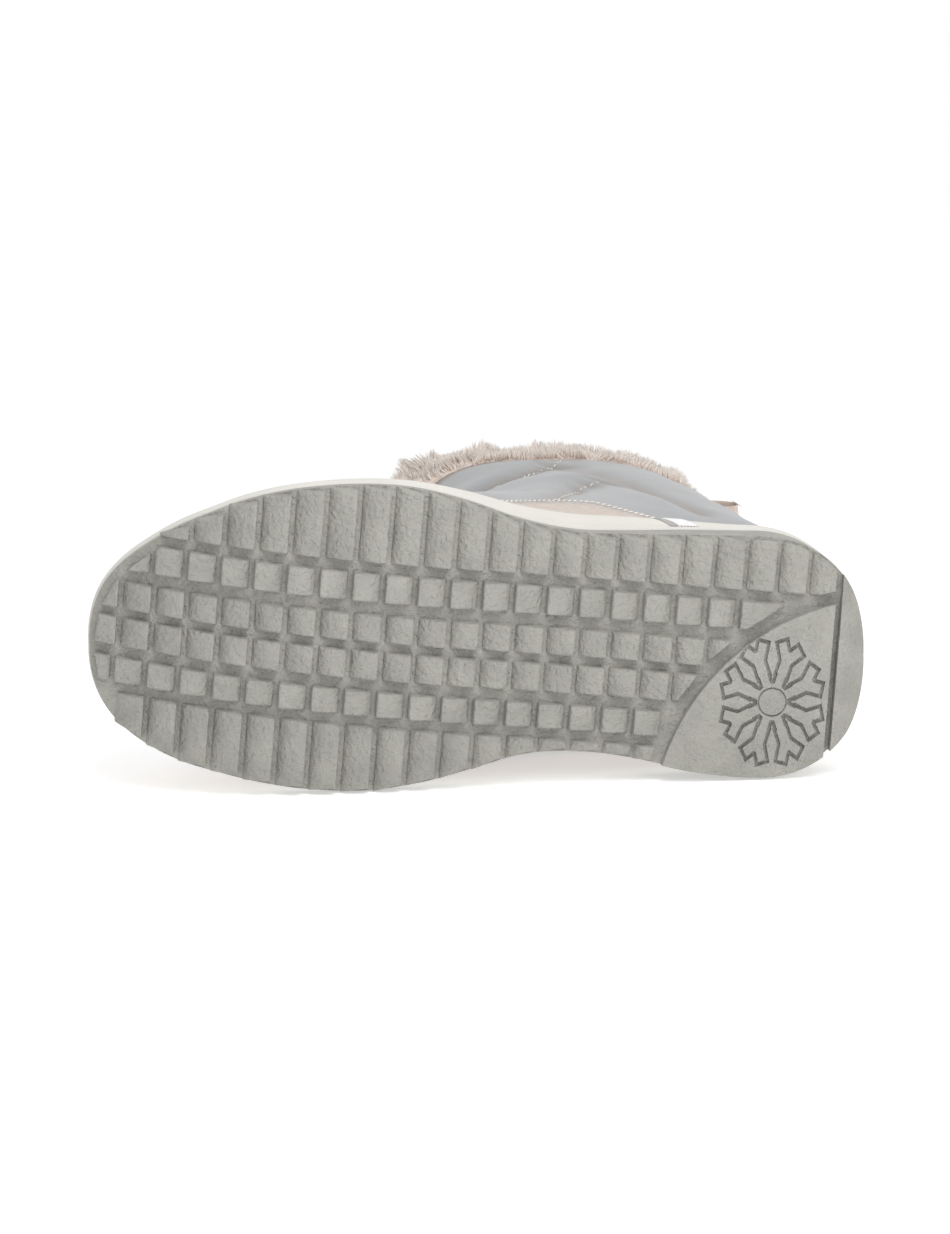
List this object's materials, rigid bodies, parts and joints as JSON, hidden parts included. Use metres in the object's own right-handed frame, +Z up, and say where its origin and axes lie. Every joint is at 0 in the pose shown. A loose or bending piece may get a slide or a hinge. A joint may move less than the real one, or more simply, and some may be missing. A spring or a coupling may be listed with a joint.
{
  "type": "snow boot",
  "caption": "Left pull-on snow boot lying on its inner side, with lugged outsole, cream midsole, suede rand, padded shaft and fur collar.",
  "frame": {"origin": "centre of the bounding box's underside, on the floor that the boot lies on", "axes": "-X from heel to toe along the floor, -Y the way the tread faces, +Z up, which is the boot's outer (lateral) side"},
  "size_m": [0.2708, 0.231, 0.1081],
  "materials": {
    "outsole_rubber": "matt grey moulded rubber, fine pebble grain on most lugs",
    "midsole_foam": "satin off-white moulded foam",
    "nylon": "blue-grey quilted nylon with a soft sheen",
    "suede": "pinkish beige suede",
    "insole_plush": "short beige plush",
    "fur": "pinkish beige faux fur",
    "loop_tape": "beige suede tape"
  },
  "bodies": {
    "root": {"outsole": "outsole_rubber", "midsole": "midsole_foam", "upper": "nylon", "suede_rand": "suede", "insole": "insole_plush", "fur_collar": "fur", "pull_loop": "loop_tape"}
  },
  "joints": []
}
